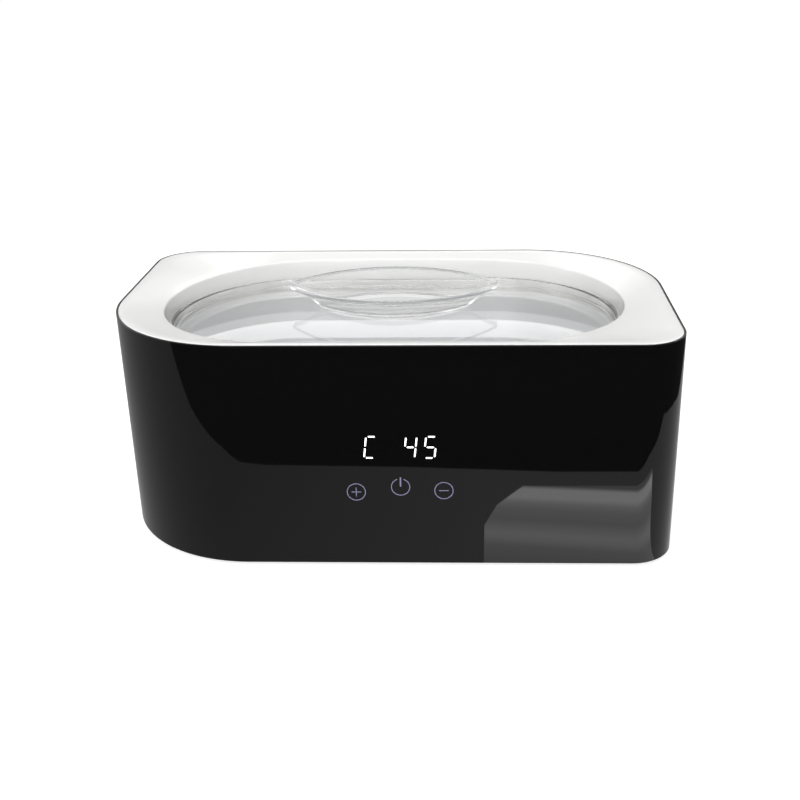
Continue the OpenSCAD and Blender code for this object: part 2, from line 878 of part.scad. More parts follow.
// Two leads from the rim of the heater mat to the terminal block
module heater_leads() {
  low = clamp_z - 6;
  rim = [for (x = block_x) sqrt(pow(heater_r - 2, 2) - pow(x + oval_c, 2))];
  color("#b8372c") for (k = [0, 1]) wire([
    [block_x[k], rim[k], heater_z - 0.3], [block_x[k], rim[k], low],
    [block_x[k], sleeve_r + 1.7, low], [block_x[k], wire_y - 1, low + 16],
    [block_x[k], wire_y, low + 40], [block_x[k], wire_y, block_low + 3]
  ], 0.9);
}

module sensor_lead() {
  low = clamp_z - 6;
  color("#d8d8d8") wire([
    [-0.1, sensor_y, barrel_z], [-3, sensor_y, barrel_z], [-8, sensor_y - 4, low], [-8, -tank_r, low],
    [-8, board_y + 4, board_low - 4], [-8, board_y + board_t + 1.5, board_low + 10]
  ], 1);
}

module mains_leads() {
  end_y = back_in - inlet_depth - pin_out;
  turn_x = power_left + 16;
  color("#6b4a2f") for (k = [0, 1]) wire([
    [pin_x[k], end_y - 0.1, inlet_z], [pin_x[k], end_y - 3, inlet_z], [pin_x[k], end_y - 5, inlet_z + 5],
    [turn_x + k * 8, end_y + 2, power_low - 2], [turn_x + k * 8, power_y - 1.4, power_low + 8]
  ], 1.1);
}

module board_cable() {
  low = cover_top + wool_t + 4;
  x = power_left + power_w + 8;
  side_y = sleeve_r + sleeve_t + 3;
  color("#8a8d92") wire([
    [x, power_y - 2, power_low + 8], [x, side_y, power_low - 2], [x, tank_r - 4, low], [x, 4 - tank_r, low],
    [key_x - 41.4, board_y + 5, board_low], [key_x - 35.4, board_y + board_t + 1.7, board_low + 12]
  ], 1.5);
}

// ---------------------------------------------------------------- lid

module lid_pane() {
  color(clear_pc) {
    oval_sweep() {
      // Domed pane
      intersection() {
        translate([0, pane_top - pane_rad]) difference() {
          circle(pane_rad, $fn = 360);
          circle(pane_rad - pane_t, $fn = 360);
        }
        translate([0, well_z]) square([pane_edge + 0.5, dome + 10]);
      }
      // Rim with a rounded top
      translate([pane_edge, well_z]) square([rim_w, rim_h - rim_w / 2]);
      translate([pane_edge + rim_w / 2, well_z + rim_h - rim_w / 2]) circle(rim_w / 2, $fn = 48);
    }
    // Flat seat for the handle
    translate([0, 0, pane_top - 2]) linear_extrude(seat_top - pane_top + 2) handle_plan(seat_in);
  }
}

module lid_handle() {
  color(clear_pc) difference() {
    bowl_overlap(flare_r, seat_top, handle_top);
    bowl_overlap(flare_r + handle_t, seat_top + handle_floor, handle_top + 1);
  }
}

outer_casing();
top_deck();
base_cover();
foot_front_left();
foot_front_right();
foot_back_left();
foot_back_right();
base_screws();
wax_tank();
tank_gasket();
tank_brackets();
bracket_screws();
heater_pad();
heater_clamp_plate();
clamp_nuts();
insulation_sleeve();
insulation_pad();
thermal_cutoff();
cutoff_strap();
thermal_fuse();
fuse_clip();
temperature_sensor();
sensor_clip();
control_board();
display_module();
display_filter();
touch_pads();
board_screws();
power_board();
relay();
transformer();
capacitors();
terminal_block();
power_screws();
mains_inlet();
inlet_pins();
inlet_screws();
heater_leads();
sensor_lead();
mains_leads();
board_cable();
lid_pane();
lid_handle();
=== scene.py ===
import math

import bmesh
import bpy
from mathutils import Matrix, Vector


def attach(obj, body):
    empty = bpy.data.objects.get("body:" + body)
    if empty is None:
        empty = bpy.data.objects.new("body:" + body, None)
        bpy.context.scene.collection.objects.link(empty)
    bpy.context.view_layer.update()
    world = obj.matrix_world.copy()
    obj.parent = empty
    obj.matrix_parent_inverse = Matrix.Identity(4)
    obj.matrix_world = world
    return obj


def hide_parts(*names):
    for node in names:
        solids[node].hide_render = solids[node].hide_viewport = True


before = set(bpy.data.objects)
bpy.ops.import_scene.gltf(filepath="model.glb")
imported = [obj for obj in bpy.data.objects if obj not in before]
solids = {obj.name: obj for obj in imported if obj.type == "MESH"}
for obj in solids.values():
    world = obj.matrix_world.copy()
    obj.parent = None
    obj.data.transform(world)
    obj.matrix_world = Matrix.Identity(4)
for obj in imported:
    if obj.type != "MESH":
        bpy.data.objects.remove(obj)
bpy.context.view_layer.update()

# Wax warmer pot, put together from the base up. The solids hold the true sizes, in
# metres; sizes written here are in millimetres and are turned by MM. The camera, the
# lamps and the cards round the object are in metres.
MM = 0.001


# ---- Camera
# A 50 mm lens at arm's length, looking down on the deck from a little right of centre.
# The lens is shifted a little sideways, as on a view camera, to set the warmer in the frame.
camera_data = bpy.data.cameras.new("camera")
camera_data.lens = 49.65
camera_data.sensor_width = 36
camera_data.shift_x = -0.0371
camera = bpy.data.objects.new("camera", camera_data)
camera.location = (0.0427, -0.608, 0.3188)
camera.rotation_euler = [math.radians(angle) for angle in (66.97, 0.82, 1.83)]
bpy.context.scene.collection.objects.link(camera)
bpy.context.scene.camera = camera


# ---- Feet
# Four turned rubber feet, moulded with a stem that snaps through the base cover.
# They carry the warmer 2 mm clear of the table.
def linear(hex_colour):
    """A written sRGB colour as Blender's linear colour."""
    parts = [int(hex_colour[i:i + 2], 16) / 255 for i in (1, 3, 5)]
    return [p / 12.92 if p <= 0.04045 else ((p + 0.055) / 1.055) ** 2.4 for p in parts] + [1]


def feed(material, source, node, socket):
    """Links a source into a socket of a node that is already there."""
    material.node_tree.links.new(source, node.inputs[socket])


def add_node(material, kind, values=(), feeds=(), **options):
    """A node with its options, its socket values and what feeds its sockets."""
    node = material.node_tree.nodes.new(kind)
    for name, value in options.items():
        setattr(node, name, value)
    for socket, value in dict(values).items():
        node.inputs[socket].default_value = value
    for socket, source in dict(feeds).items():
        feed(material, source, node, socket)
    return node


def start_material(name, colour, roughness, ior=1.5, metallic=0.0):
    """A material with its base finish; patterns are fed in afterwards."""
    material = bpy.data.materials.new(name)
    material.use_nodes = True
    surface = material.node_tree.nodes["Principled BSDF"]
    surface.inputs["Base Color"].default_value = linear(colour)
    surface.inputs["Roughness"].default_value = roughness
    surface.inputs["IOR"].default_value = ior
    surface.inputs["Metallic"].default_value = metallic
    return material, surface


def object_noise(material, size_mm, detail):
    """Noise in the object's own coordinates, with features size_mm across."""
    place = add_node(material, "ShaderNodeTexCoord")
    return add_node(material, "ShaderNodeTexNoise",
                    {"Scale": 1 / (size_mm * MM), "Detail": detail},
                    {"Vector": place.outputs["Object"]})


def add_grain(material, surface, size_mm, height_mm, detail=2):
    """Fine relief from the mould or the process, through the normal."""
    noise = object_noise(material, size_mm, detail)
    bump = add_node(material, "ShaderNodeBump", {"Strength": 1, "Distance": height_mm * MM},
                    {"Height": noise.outputs["Fac"]})
    feed(material, bump.outputs["Normal"], surface, "Normal")


def add_wear(material, surface, size_mm, low, high, detail=4):
    """Roughness that drifts between low and high, as handled or moulded surfaces do."""
    noise = object_noise(material, size_mm, detail)
    spread = add_node(material, "ShaderNodeMapRange", {"To Min": low, "To Max": high},
                      {"Value": noise.outputs["Fac"]})
    feed(material, spread.outputs["Result"], surface, "Roughness")


def coat_solids(material, *nodes):
    """Gives solids their material."""
    for node in nodes:
        mesh = solids[node].data
        mesh.materials.clear()
        mesh.materials.append(material)


# Nitrile rubber is matte from the tool, so it only shows a faint broad sheen
nitrile, nitrile_surface = start_material(
    "moulded_nitrile_rubber", "#232325", roughness=0.7, ior=1.52)
add_grain(nitrile, nitrile_surface, size_mm=0.6, height_mm=0.03)
coat_solids(nitrile, "foot_front_left", "foot_front_right", "foot_back_left", "foot_back_right")


# ---- Base cover and its screws
# Injection moulded ABS, vented under the heater. Four long zinc plated screws go up
# through its bosses into the deck's posts.

# The spark-eroded tool leaves a fine matte grain that scatters light softly
textured_abs, textured_abs_surface = start_material("spark_textured_abs", "#1B1C1F", roughness=0.5)
add_grain(textured_abs, textured_abs_surface, size_mm=0.35, height_mm=0.04, detail=3)
add_wear(textured_abs, textured_abs_surface, size_mm=9, low=0.42, high=0.6)
coat_solids(textured_abs, "base_cover")

# Zinc plating glints in a cool grey with slightly cloudy patches
zinc, zinc_surface = start_material("zinc_plated_steel", "#A9ACB0", roughness=0.32, metallic=1.0)
add_wear(zinc, zinc_surface, size_mm=1.5, low=0.25, high=0.45)
coat_solids(zinc, "base_screws")


# ---- Tank
# Deep-drawn aluminium basin with sloping walls, hung by its flange under the gasket. The
# studs that hold the heater are out of sight below its floor, so they aren't drawn.
OVAL_HALF = 55
END_STEPS = 180
SIDE_STEPS = 20
OVAL_STEPS = 2 * (END_STEPS + SIDE_STEPS)
WELD = 1e-7  # in metres


def oval_station(turn):
    """Centre and outward direction at a turn from 0 to 1 round the long oval."""
    side, along = divmod(turn * 2, 1)
    sign = 1 if int(side) % 2 == 0 else -1
    share = END_STEPS / (END_STEPS + SIDE_STEPS)
    if along < share:
        angle = math.pi * (along / share - 0.5)
        out = sign * Vector((math.cos(angle), math.sin(angle)))
        return Vector((sign * OVAL_HALF, 0)), out
    back = 1 - 2 * (along - share) / (1 - share)
    return Vector((sign * OVAL_HALF * back, 0)), Vector((0, sign))


def oval_place(turn, level):
    """A point of the oval at level = (end radius, height)."""
    centre, out = oval_station(turn)
    spot = centre + level[0] * out
    return Vector((spot.x, spot.y, level[1]))


def soften(section, reach, steps=5):
    """Rounds the corners of a section: reach gives each corner's cut-back, 0 leaves it sharp."""
    rounded = []
    for i, corner in enumerate(section):
        if not reach[i]:
            rounded.append(corner)
            continue
        here = Vector(corner)
        following = section[(i + 1) % len(section)]
        before = here + (Vector(section[i - 1]) - here).normalized() * reach[i]
        after = here + (Vector(following) - here).normalized() * reach[i]
        for k in range(steps + 1):
            t = k / steps
            rounded.append(tuple(before.lerp(here, t).lerp(here.lerp(after, t), t)))
    return rounded


def extrude_ring(skin, edges, settle):
    """Extrudes a ring of edges, settles its new corners and returns these and the new edges."""
    made = bmesh.ops.extrude_edge_only(skin, edges=edges)["geom"]
    corners = [part for part in made if isinstance(part, bmesh.types.BMVert)]
    for corner in corners:
        corner.co = settle(corner)
    raised = set(corners)
    edges = [part for part in made
             if isinstance(part, bmesh.types.BMEdge) and raised.issuperset(part.verts)]
    return corners, edges


def finish_skin(skin, name, crease=35):
    """Welds, turns the faces outwards, marks sharp edges and makes the piece."""
    bmesh.ops.remove_doubles(skin, verts=skin.verts, dist=WELD)
    bmesh.ops.recalc_face_normals(skin, faces=skin.faces)
    if skin.calc_volume(signed=True) < 0:
        bmesh.ops.reverse_faces(skin, faces=skin.faces)
    for edge in skin.edges:
        edge.smooth = edge.calc_face_angle(0) < math.radians(crease)
    for face in skin.faces:
        face.smooth = True
    mesh = bpy.data.meshes.new(name)
    skin.to_mesh(mesh)
    skin.free()
    piece = bpy.data.objects.new(name, mesh)
    bpy.context.scene.collection.objects.link(piece)
    return piece


def draw_round(name, levels, place, steps, closed, crease=35):
    """Extrudes a ring through each level; place() puts its corners. closed joins last to first."""
    skin = bmesh.new()
    turn_of = skin.verts.layers.float.new("turn")
    ring = bmesh.ops.create_circle(skin, segments=steps, radius=1)["verts"]
    for i, corner in enumerate(ring):
        corner[turn_of] = i / steps
        corner.co = place(corner[turn_of], levels[0]) * MM
    edges = first = skin.edges[:]
    for level in levels[1:]:
        _, edges = extrude_ring(skin, edges, lambda corner: place(corner[turn_of], level) * MM)
    if closed:
        bmesh.ops.bridge_loops(skin, edges=first + edges)
    return finish_skin(skin, name, crease)


def fit_piece(piece, material, body, slot, *nodes):
    """Gives a piece its material and body, and stands it in for its solids; slot is not used."""
    piece.data.materials.append(material)
    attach(piece, body)
    if nodes:
        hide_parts(*nodes)


# Both faces as (end radius, height), from the middle outwards and back, and what each
# corner is rounded by: floor, bend, mouth, flange
tank_inside = [(0, 31.2), (64, 31.2), (70, 105.2), (79.5, 105.2)]
tank_outside = [(79.5, 104), (71.6, 104), (65.4, 29.7), (0, 29.7)]
tank_bends = [0, 12, 1.2, 0.3] + [0.3, 1.5, 13, 0]
tank_section = soften(tank_inside + tank_outside, tank_bends, steps=10)
tank = draw_round("anodised_tank", tank_section, oval_place, OVAL_STEPS, closed=False)

# Satin anodising spreads the light, so the tank is a calm pale grey under the pane
satin_alu, satin_alu_surface = start_material(
    "satin_anodised_aluminium", "#E3E4E5", roughness=0.5, metallic=1.0)
add_wear(satin_alu, satin_alu_surface, size_mm=14, low=0.45, high=0.6)
fit_piece(tank, satin_alu, "base", "tank_aluminium", "wax_tank")


# ---- Gasket, tank brackets and their screws
# A flat silicone ring, moulded, keeps wax out of the body. Six pressed steel brackets
# pull the tank's flange up against it from below.

# Silicone is off-white and dull, with a soft edge to its few highlights
silicone, silicone_surface = start_material(
    "moulded_silicone", "#DEDDD9", roughness=0.55, ior=1.41)
add_grain(silicone, silicone_surface, size_mm=0.8, height_mm=0.02)
coat_solids(silicone, "tank_gasket")
coat_solids(zinc, "tank_brackets", "bracket_screws")


# ---- Heater, insulation and sensors, under and round the tank
# A red silicone heater mat is clamped to the floor by a steel plate on studs. Ceramic
# wool wraps the wall and lines the base. The cutoff, fuse and sensor touch the plate.

# The mat is brick red and rubbery, with a faintly uneven surface
red_silicone, red_silicone_surface = start_material(
    "vulcanised_silicone_mat", "#8C3324", roughness=0.6, ior=1.41)
add_grain(red_silicone, red_silicone_surface, size_mm=1.2, height_mm=0.08)
coat_solids(red_silicone, "heater_pad")
coat_solids(zinc, "heater_clamp_plate", "clamp_nuts", "cutoff_strap", "fuse_clip",
            "sensor_clip", "temperature_sensor")

# Needled wool is cream, quite without gloss and uneven to the eye
wool, wool_surface = start_material("needled_ceramic_wool", "#DCD5C2", roughness=0.95)
add_grain(wool, wool_surface, size_mm=1.6, height_mm=0.6, detail=6)
coat_solids(wool, "insulation_sleeve", "insulation_pad")

# Steatite looks like unglazed china
steatite, steatite_surface = start_material("pressed_steatite", "#E8E3D8", roughness=0.45)
add_grain(steatite, steatite_surface, size_mm=0.5, height_mm=0.02)
coat_solids(steatite, "thermal_cutoff")

# Drawn brass is a warm yellow with a satin bloom
brass, brass_surface = start_material("drawn_brass", "#C9A55A", roughness=0.3, metallic=1.0)
add_wear(brass, brass_surface, size_mm=2, low=0.22, high=0.42)
coat_solids(brass, "thermal_fuse")


# ---- Boards, their parts and the leads
# Etched glass-epoxy boards screwed to the casing. Relay, transformer, capacitors and
# terminal block stand on the power board; leads are PVC.

# Solder resist is a deep green lacquer that shines in places
resist, resist_surface = start_material("solder_resist_on_glass_epoxy", "#1D5B38", roughness=0.3)
add_wear(resist, resist_surface, size_mm=3, low=0.22, high=0.4)
coat_solids(resist, "control_board", "power_board")
coat_solids(zinc, "board_screws", "power_screws")
coat_solids(textured_abs, "display_module", "capacitors")
coat_solids(brass, "transformer")

# Open foam swallows the light and stays dark grey
foam, foam_surface = start_material("conductive_foam", "#3C3D42", roughness=0.9)
add_grain(foam, foam_surface, size_mm=0.7, height_mm=0.3, detail=5)
coat_solids(foam, "touch_pads")

# The coloured plastics are satin, each in the colour that tells it apart
for node, name, colour in (
    ("relay", "moulded_blue_pbt", "#2559A6"),
    ("terminal_block", "moulded_green_nylon", "#3F7D4A"),
    ("heater_leads", "red_pvc_sleeve", "#B23428"),
    ("sensor_lead", "white_pvc_sleeve", "#DADAD6"),
    ("mains_leads", "brown_pvc_sleeve", "#6A4A30"),
    ("board_cable", "grey_pvc_ribbon", "#8A8D92"),
):
    plastic, plastic_surface = start_material(name, colour, roughness=0.4)
    add_wear(plastic, plastic_surface, size_mm=4, low=0.32, high=0.5)
    coat_solids(plastic, node)


# ---- Casing
# One deep ABS shell, moulded in black in a mirror-polished tool, with two big and two
# small corners. The deck drops into its lapped rim and the inlet sits in its back wall.
# Its hidden inner bosses aren't drawn.
CASING_W, CASING_D = 310, 180
CASING_BOTTOM, CASING_TOP = 2, 128
CASING_WALL = 2.2
RIM_T, LAP_Z = 1, 125
BIG_CORNER, SMALL_CORNER = 78, 24
CORNER_STEPS = 64
INLET_AT = (-96, 22)
INLET_HOLE = (24, 16)
CUT_DEPTH = 8
INLET_SCREW_X = 17
SUNK_HEAD_R, SUNK_HEAD_H = 3, 1.5
SCREW_R = 1.2
SUNK_STEPS = 40
FLAT = 0.99999


def casing_place(start, inset, height):
    """A point of the casing's outline, moved inwards by inset round its own corner's centre."""
    side = [math.copysign(1, v) for v in start]
    radius = BIG_CORNER if side[0] * side[1] > 0 else SMALL_CORNER
    half = (CASING_W / 2, CASING_D / 2)
    centre = Vector([side[i] * (half[i] - radius) for i in (0, 1)])
    spot = centre + (start - centre) * (radius - inset) / radius
    return Vector((spot.x, spot.y, height))


casing_section = soften(
    [(0, CASING_BOTTOM), (0, CASING_TOP), (RIM_T, CASING_TOP), (RIM_T, LAP_Z),
     (CASING_WALL, LAP_Z), (CASING_WALL, CASING_BOTTOM)],
    [0.5, 0.4, 0.3, 0, 0.2, 0.3], steps=4)
casing_skin = bmesh.new()
corners = [casing_skin.verts.new((x * CASING_W / 2 * MM, y * CASING_D / 2 * MM, 0))
           for x, y in ((-1, -1), (1, -1), (1, 1), (-1, 1))]
casing_skin.faces.new(corners)
for pair, radius in ((corners[::2], BIG_CORNER), (corners[1::2], SMALL_CORNER)):
    bmesh.ops.bevel(casing_skin, geom=pair, affect="VERTICES", offset=radius * MM,
                    offset_type="OFFSET", segments=CORNER_STEPS, profile=0.5, material=-1)
bmesh.ops.delete(casing_skin, geom=casing_skin.faces[:], context="FACES_ONLY")
outline = casing_skin.verts.layers.float_vector.new("outline")
for corner in casing_skin.verts:
    corner[outline] = corner.co / MM
first = edges = casing_skin.edges[:]
for corner in casing_skin.verts:
    corner.co = casing_place(corner[outline].xy, *casing_section[0]) * MM
for inset, height in casing_section[1:]:
    _, edges = extrude_ring(casing_skin, edges,
                            lambda corner: casing_place(corner[outline].xy, inset, height) * MM)
bmesh.ops.bridge_loops(casing_skin, edges=first + edges)
casing = finish_skin(casing_skin, "piano_black_casing", crease=50)

# The inlet's window and its two countersunk holes are cut through the back wall. Each
# hole is drawn round the origin, as (radius, depth), and then moved to its place.
hole_steps = [(SCREW_R, CASING_WALL - SUNK_HEAD_H + 0.1), (SUNK_HEAD_R, CASING_WALL),
              (SUNK_HEAD_R, 6)]
inlet_cut = bmesh.new()
window_middle = Vector((INLET_AT[0], CASING_D / 2, INLET_AT[1])) * MM
window_size = Matrix.Diagonal((INLET_HOLE[0], CUT_DEPTH, INLET_HOLE[1], 1))
bmesh.ops.create_cube(inlet_cut, size=MM,
                      matrix=Matrix.Translation(window_middle) @ window_size)
for side in (-1, 1):
    ring = bmesh.ops.create_circle(inlet_cut, segments=SUNK_STEPS, radius=SCREW_R * MM)["verts"]
    rims = list({edge for corner in ring for edge in corner.link_edges})
    bmesh.ops.contextual_create(inlet_cut, geom=rims)
    cone = list(ring)
    for radius, depth in hole_steps:
        ring, rims = extrude_ring(inlet_cut, rims, lambda corner: Vector(
            (*(corner.co.xy.normalized() * radius * MM), depth * MM)))
        cone += ring
    bmesh.ops.contextual_create(inlet_cut, geom=rims)
    for corner in cone:
        x, y, depth = corner.co / MM
        corner.co = Vector((INLET_AT[0] + side * INLET_SCREW_X + x,
                            CASING_D / 2 - CASING_WALL + depth, INLET_AT[1] + y)) * MM
bmesh.ops.recalc_face_normals(inlet_cut, faces=inlet_cut.faces)
cutter = finish_skin(inlet_cut, "inlet_cut")
cut = casing.modifiers.new("inlet_window", "BOOLEAN")
cut.object = cutter
cut.solver = "EXACT"
state = bpy.context.evaluated_depsgraph_get()
cut_mesh = bpy.data.meshes.new_from_object(casing.evaluated_get(state))
casing.modifiers.clear()
casing.data = cut_mesh
bpy.data.objects.remove(cutter)
for wall in casing.data.polygons:
    if abs(wall.normal.y) > FLAT and wall.center.y > 0:
        wall.use_smooth = False  # keeps the cut back wall a plane mirror

# Piano-black gloss: almost all that the eye gets is what it reflects
piano_black, piano_black_surface = start_material(
    "polished_black_abs", "#080808", roughness=0.035, ior=1.42)
add_grain(piano_black, piano_black_surface, size_mm=22, height_mm=0.012, detail=1)
fit_piece(casing, piano_black, "base", "black_gloss", "outer_casing")
coat_solids(piano_black, "display_filter")


# ---- Display digits and touch marks
# The light of the display and of three keys comes through the thinned front wall. It is
# drawn as skins a few hundredths of a millimetre proud of the gloss.
DIGITS_X, DIGITS_Z = 7.3, 71.7
DIGIT_H, DIGIT_W = 12.2, 5.6
DIGIT_PITCH = 10.42
CELLS_MIDDLE = 1.5
SEGMENT_T = 0.82
SLANT = math.tan(math.radians(6.5))
FRONT = -CASING_D / 2
PROUD, SUNK = 0.06, 0.3


def stand_up(skin, x, z):
    """Thickens flat faces drawn on X and Y and sets them into the front wall at x, z."""
    made = bmesh.ops.extrude_face_region(skin, geom=skin.faces[:])["geom"]
    made = [part for part in made if isinstance(part, bmesh.types.BMVert)]
    bmesh.ops.translate(skin, verts=made, vec=(0, 0, (PROUD + SUNK) * MM))
    for corner in skin.verts:
        flat = corner.co.copy()
        corner.co = Vector((x * MM + flat.x, (FRONT + SUNK) * MM - flat.z, z * MM + flat.y))


def bar(skin, middle, length, thick, upright, point):
    """A light segment drawn on X and Y; its ends narrow over point times its half thickness."""
    half, t = length / 2, thick / 2
    neck = half - t * point
    shape = [(-half, 0), (-neck, t), (neck, t), (half, 0), (neck, -t), (-neck, -t)]
    if upright:
        shape = [(-y, x) for x, y in shape]
    skin.faces.new([skin.verts.new(((x + middle[0]) * MM, (y + middle[1]) * MM, 0))
                    for x, y in shape])


def add_part(whole, part):
    """Moves all of one bmesh into another."""
    carrier = bpy.data.meshes.new("carrier")
    part.to_mesh(carrier)
    part.free()
    whole.from_mesh(carrier)
    bpy.data.meshes.remove(carrier)


# Kinds of segment as (upright, length, point), and their middles in parts of the digit
SIDE_BAR = (True, DIGIT_H / 2 - 1.0, 0.7)
END_BAR = (False, DIGIT_W - 1.9, 0.7)
MIDDLE_BAR = (False, DIGIT_W - 1.5, 1.6)
SEGMENTS = {
    "top": (0, 0.5, END_BAR), "middle": (0, 0, MIDDLE_BAR), "bottom": (0, -0.5, END_BAR),
    "top_left": (-0.5, 0.25, SIDE_BAR), "top_right": (0.5, 0.25, SIDE_BAR),
    "low_left": (-0.5, -0.25, SIDE_BAR), "low_right": (0.5, -0.25, SIDE_BAR),
}
READING = {  # the letter C, a dark cell and the temperature
    0: ("top", "top_left", "low_left", "bottom"),
    2: ("top_left", "top_right", "middle", "low_right"),
    3: ("top", "top_left", "middle", "low_right", "bottom"),
}
digits_skin = bmesh.new()
for cell, lit in READING.items():
    digit = bmesh.new()
    for name in lit:
        x, y, (upright, length, point) = SEGMENTS[name]
        bar(digit, (x * DIGIT_W, y * DIGIT_H), length, SEGMENT_T, upright, point)
    for corner in digit.verts:
        corner.co.x += corner.co.y * SLANT + (cell - CELLS_MIDDLE) * DIGIT_PITCH * MM
    stand_up(digit, DIGITS_X, DIGITS_Z)
    add_part(digits_skin, digit)
digits = finish_skin(digits_skin, "display_digits")

# White diodes behind the wall burn out to a plain crisp white
led_white, led_surface = start_material("white_light_segment", "#FFFFFF", roughness=0.4)
led_surface.inputs["Emission Color"].default_value = linear("#FFFFFF")
led_surface.inputs["Emission Strength"].default_value = 1.4
fit_piece(digits, led_white, "base", "white_gloss")

RING_R = 4.85
RING_STEPS = 64
STROKE = 0.42
SIGN_LENGTH, SIGN_POINT = 5.2, 0.2
POWER_GAP = 40


def ring_mark(skin, gap_deg):
    """A thin ring on X and Y, open at the top by gap_deg."""
    half = STROKE / 2
    start = math.radians(90 + gap_deg / 2)
    ends = [skin.verts.new((r * math.cos(start) * MM, r * math.sin(start) * MM, 0))
            for r in (RING_R - half, RING_R + half)]
    edge = skin.edges.new(ends)
    bmesh.ops.spin(skin, geom=ends + [edge], cent=(0, 0, 0), axis=(0, 0, 1),
                   angle=math.radians(360 - gap_deg), steps=RING_STEPS, use_merge=gap_deg == 0)


# Strokes as (upright, length, height of the middle, thickness)
LEVEL_STROKE = (False, SIGN_LENGTH, 0, STROKE)
UPRIGHT_STROKE = (True, SIGN_LENGTH, 0, STROKE)
POWER_STROKE = (True, 5.4, 3, 0.75)
marks_skin = bmesh.new()
for x, z, gap, strokes in (
    (-16.7, 45.5, 0, (LEVEL_STROKE, UPRIGHT_STROKE)),
    (6.9, 48.5, POWER_GAP, (POWER_STROKE,)),
    (29.8, 46.4, 0, (LEVEL_STROKE,)),
):
    mark = bmesh.new()
    ring_mark(mark, gap)
    for upright, length, shift, thick in strokes:
        bar(mark, (0, shift), length, thick, upright, SIGN_POINT)
    stand_up(mark, x, z)
    add_part(marks_skin, mark)
marks = finish_skin(marks_skin, "touch_marks")

# The keys idle at a dim lavender that only just stands off the black
mark_light, mark_surface = start_material("lavender_key_light", "#77758C", roughness=0.5)
mark_surface.inputs["Emission Color"].default_value = linear("#74709A")
mark_surface.inputs["Emission Strength"].default_value = 0.42
fit_piece(marks, mark_light, "base", "white_gloss")


# ---- Deck
# White ABS, moulded glossy. It sits flush in the casing's rim, falls gently to the oval
# well and turns down into the well's wall. Its hidden screw posts aren't drawn.
DECK_TOP = 128
DECK_INSET = 1.2
DECK_T = 2.6
SKIRT_INSET, SKIRT_T = 2.4, 1.8
SKIRT_BOTTOM = 116
BORDER = 4.4
WELL_R = 76.5
WELL_WALL = 2.5
WELL_BOTTOM = 107
WALL_BACK_TOP = 117
FALL_SIDE, FALL_END = 2.25, 3
LIP, LIP_STEPS = 1.1, 7
EDGE_R, EDGE_STEPS = 0.5, 6
FOOT_EDGE = 0.4


def plan_exit(start, out, inset):
    """Where a line from start along out leaves the casing's plan moved inwards by inset."""
    half = Vector((CASING_W / 2 - inset, CASING_D / 2 - inset))
    reach = min((math.copysign(half[i], out[i]) - start[i]) / out[i]
                for i in (0, 1) if abs(out[i]) > 1e-4)
    hit = start + reach * out
    side = [math.copysign(1, v) for v in hit]
    radius = (BIG_CORNER if side[0] * side[1] > 0 else SMALL_CORNER) - inset
    centre = Vector([side[i] * (half[i] - radius) for i in (0, 1)])
    if all(side[i] * (hit[i] - centre[i]) > 0 for i in (0, 1)):
        from_centre = start - centre
        along = from_centre.dot(out)
        rest = along * along - from_centre.length_squared + radius * radius
        hit = start + (math.sqrt(rest) - along) * out
    return hit


def well_edge(x):
    """Height of the deck where it meets the well's wall."""
    return DECK_TOP - FALL_SIDE - FALL_END * (x / (OVAL_HALF + WELL_R)) ** 2


def deck_place(turn, level):
    """A point of the deck: level = (zone, value, height or drop)."""
    zone, value, drop = level
    centre, out = oval_station(turn)
    edge = centre + WELL_R * out
    border = plan_exit(centre, out, BORDER)
    corner = Vector((edge.x, edge.y, well_edge(edge.x)))
    top = Vector((border.x, border.y, DECK_TOP))
    if zone == "plan":
        spot = plan_exit(centre, out, value)
        return Vector((spot.x, spot.y, drop))
    if zone == "slope":
        return corner.lerp(top, value) - Vector((0, 0, drop))
    if zone == "lip":
        slope_end = corner + (top - corner).normalized() * LIP
        wall_end = corner - Vector((0, 0, LIP))
        return slope_end.lerp(corner, value).lerp(corner.lerp(wall_end, value), value)
    spot = centre + value * out
    return Vector((spot.x, spot.y, drop))


deck_levels = [("plan", SKIRT_INSET + SKIRT_T, SKIRT_BOTTOM),
               ("plan", SKIRT_INSET, SKIRT_BOTTOM),
               ("plan", SKIRT_INSET, LAP_Z), ("plan", DECK_INSET, LAP_Z)]
for k in range(EDGE_STEPS + 1):
    angle = math.radians(90 / EDGE_STEPS * k)
    deck_levels.append(("plan", DECK_INSET + EDGE_R * (1 - math.cos(angle)),
                        DECK_TOP - EDGE_R * (1 - math.sin(angle))))
deck_levels += [("slope", value, 0) for value in (1, 0.85, 0.7, 0.55, 0.4, 0.28)]
deck_levels += [("lip", k / LIP_STEPS, 0) for k in range(LIP_STEPS + 1)]
deck_levels += [("wall", WELL_R, WELL_BOTTOM + FOOT_EDGE),
                ("wall", WELL_R + FOOT_EDGE, WELL_BOTTOM),
                ("wall", WELL_R + WELL_WALL, WELL_BOTTOM),
                ("wall", WELL_R + WELL_WALL, WALL_BACK_TOP)]
deck_levels += [("slope", value, DECK_T) for value in (0.3, 0.9)]
deck = draw_round("moulded_deck", deck_levels, deck_place, OVAL_STEPS, closed=True, crease=50)

# A clean near-white with the wide soft mirror of a moulded gloss
white_abs, white_abs_surface = start_material(
    "glossy_white_abs", "#EFEFEE", roughness=0.12, ior=1.5)
add_grain(white_abs, white_abs_surface, size_mm=18, height_mm=0.01, detail=1)
fit_piece(deck, white_abs, "base", "white_gloss", "top_deck")


# ---- Mains inlet
# A glass-filled nylon appliance inlet with two brass pins, set flush in the back wall
# and held by two countersunk screws.

